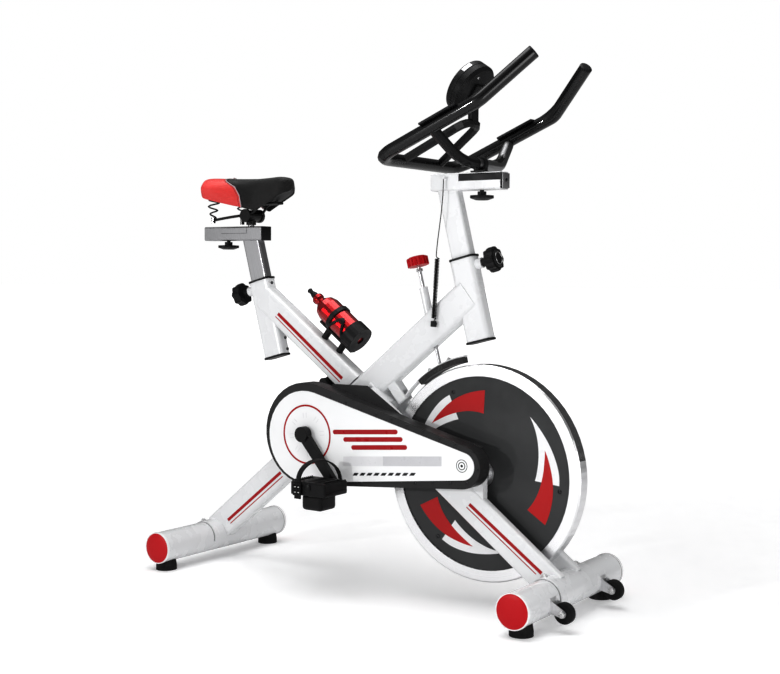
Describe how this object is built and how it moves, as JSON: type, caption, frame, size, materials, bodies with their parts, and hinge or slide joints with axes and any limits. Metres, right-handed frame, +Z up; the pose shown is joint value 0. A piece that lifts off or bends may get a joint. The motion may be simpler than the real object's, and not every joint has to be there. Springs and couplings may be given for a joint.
{
  "type": "indoor spin bike",
  "caption": "Upright indoor cycling machine: welded tube frame on cross bars, heavy flywheel with belt guard, saddle and looped handlebar on sliding posts, tension knob and bottle.",
  "frame": {"origin": "on the floor, under the middle of the bike's length and width", "axes": "+X towards the front bar and flywheel, +Y to the side away from the belt guard, +Z up"},
  "size_m": [1.1412, 0.46, 1.2283],
  "materials": {
    "bottle_red": "metallic red lacquer",
    "cap_red": "red moulded plastic",
    "chrome": "turned and polished",
    "disc_grey": "dark grey, fine texture",
    "felt_black": "felt brake pad",
    "frame_white": "glossy white powder coat",
    "grip_black": "fine textured black",
    "guard_white": "glossy white",
    "plastic_black": "black moulded plastic",
    "rubber_black": "black rubber",
    "saddle_leather": "soft grained cover over foam",
    "steel": "zinc plated, satin"
  },
  "bodies": {
    "frame": {"rear_foot_bar": "frame_white", "rear_cap_right": "cap_red", "rear_cap_left": "cap_red", "rear_foot_right": "rubber_black", "rear_foot_left": "rubber_black", "front_foot_bar": "frame_white", "front_cap_right": "cap_red", "front_cap_left": "cap_red", "front_foot_right": "rubber_black", "front_foot_left": "rubber_black", "rear_beam": "frame_white", "front_beam": "frame_white", "fork_leg_right": "frame_white", "fork_leg_left": "frame_white", "front_saddle": "frame_white", "wheel_bracket_right": "steel", "wheel_bracket_left": "steel", "seat_tube": "frame_white", "seat_sleeve": "plastic_black", "seat_plug": "plastic_black", "head_tube": "frame_white", "head_sleeve": "plastic_black", "head_plug": "plastic_black", "drive_belt": "rubber_black", "guard_housing": "plastic_black", "guard_plate": "guard_white", "bottle_cage": "plastic_black", "lead_coil": "rubber_black", "lead_plug": "plastic_black"},
    "transport_wheel_right": {"transport_wheel_right": "rubber_black"},
    "transport_wheel_left": {"transport_wheel_left": "rubber_black"},
    "flywheel": {"flywheel_rim": "chrome", "flywheel_disc": "disc_grey", "flywheel_hub": "steel"},
    "crank": {"crank_spindle": "steel", "crank_arm_right": "plastic_black", "crank_arm_left": "plastic_black"},
    "pedal_right": {"pedal_right": "plastic_black", "toe_strap_right": "rubber_black"},
    "pedal_left": {"pedal_left": "plastic_black", "toe_strap_left": "rubber_black"},
    "seat_post": {"seat_post": "steel"},
    "seat_carriage": {"seat_slider": "steel", "saddle": "saddle_leather", "saddle_frame": "grip_black"},
    "seat_height_knob": {"seat_height_knob": "plastic_black"},
    "seat_slider_knob": {"seat_slider_knob": "plastic_black"},
    "handlebar_post": {"handlebar_post": "frame_white", "lead_wire": "rubber_black"},
    "handlebar_carriage": {"handlebar_slider": "plastic_black", "handlebar": "grip_black", "console": "plastic_black"},
    "handlebar_height_knob": {"handlebar_height_knob": "plastic_black"},
    "handlebar_slider_knob": {"handlebar_slider_knob": "plastic_black"},
    "tension_rod": {"tension_rod": "steel"},
    "tension_knob": {"tension_knob": "cap_red"},
    "brake": {"brake_lever": "frame_white", "brake_pad": "felt_black"},
    "bottle": {"bottle": "bottle_red", "bottle_spout": "plastic_black"}
  },
  "joints": [
    {"name": "flywheel_spin", "type": "hinge", "parent": "frame", "child": "flywheel", "pos_m": [0.28165, 0, 0.297], "axis": [0, 1, 0], "continuous": true},
    {"name": "crank_spin", "type": "hinge", "parent": "frame", "child": "crank", "pos_m": [-0.15735, 0, 0.362], "axis": [0, 1, 0], "continuous": true},
    {"name": "pedal_right_spin", "type": "hinge", "parent": "crank", "child": "pedal_right", "pos_m": [-0.06736, -0.167, 0.25475], "axis": [0, 1, 0], "continuous": true},
    {"name": "pedal_left_spin", "type": "hinge", "parent": "crank", "child": "pedal_left", "pos_m": [-0.24734, 0.139, 0.46925], "axis": [0, 1, 0], "continuous": true},
    {"name": "transport_wheel_right_spin", "type": "hinge", "parent": "frame", "child": "transport_wheel_right", "pos_m": [0.54765, -0.122, 0.042], "axis": [0, 1, 0], "continuous": true},
    {"name": "transport_wheel_left_spin", "type": "hinge", "parent": "frame", "child": "transport_wheel_left", "pos_m": [0.54765, 0.122, 0.042], "axis": [0, 1, 0], "continuous": true},
    {"name": "seat_height", "type": "slide", "parent": "frame", "child": "seat_post", "axis": [-0.2622, 0, 0.965], "range_m": [-0.055, 0.06]},
    {"name": "seat_slide", "type": "slide", "parent": "seat_post", "child": "seat_carriage", "axis": [1, 0, 0], "range_m": [-0.035, 0.035]},
    {"name": "seat_slider_knob_turn", "type": "hinge", "parent": "seat_post", "child": "seat_slider_knob", "pos_m": [-0.49735, 0, 0.83], "axis": [0, 0, 1], "continuous": true},
    {"name": "seat_height_knob_pull", "type": "slide", "parent": "frame", "child": "seat_height_knob", "axis": [-0.965, 0, -0.2622], "range_m": [0, 0.008], "stiffness_N_per_m": 1500, "springref_m": -0.004},
    {"name": "handlebar_height", "type": "slide", "parent": "frame", "child": "handlebar_post", "axis": [-0.2453, 0, 0.9694], "range_m": [-0.05, 0.06], "deforming": ["lead_coil"]},
    {"name": "handlebar_slide", "type": "slide", "parent": "handlebar_post", "child": "handlebar_carriage", "axis": [1, 0, 0], "range_m": [-0.03, 0.04]},
    {"name": "handlebar_slider_knob_turn", "type": "hinge", "parent": "handlebar_post", "child": "handlebar_slider_knob", "pos_m": [0.26465, 0, 0.938], "axis": [0, 0, 1], "continuous": true},
    {"name": "handlebar_height_knob_pull", "type": "slide", "parent": "frame", "child": "handlebar_height_knob", "axis": [0.9694, 0, 0.2453], "range_m": [0, 0.008], "stiffness_N_per_m": 1500, "springref_m": -0.004},
    {"name": "tension_push", "type": "slide", "parent": "frame", "child": "tension_rod", "axis": [0.2588, 0, -0.9659], "range_m": [0, 0.004], "stiffness_N_per_m": 3000, "springref_m": -0.004},
    {"name": "tension_knob_turn", "type": "hinge", "parent": "tension_rod", "child": "tension_knob", "pos_m": [0.09265, 0, 0.776], "axis": [-0.2588, 0, 0.9659], "continuous": true},
    {"name": "brake_lever_swing", "type": "hinge", "parent": "frame", "child": "brake", "pos_m": [0.05515, 0, 0.4556], "axis": [0, 1, 0], "range_deg": [0, 1.9]},
    {"name": "bottle_lift", "type": "slide", "parent": "frame", "child": "bottle", "axis": [-0.7944, 0, 0.6074], "range_m": [0, 0.12]}
  ],
  "couplings": [
    {"joint": "crank_spin", "follows": "flywheel_spin", "ratio": 0.25},
    {"joint": "brake_lever_swing", "follows": "tension_push", "rad_per_m": 8.25}
  ]
}
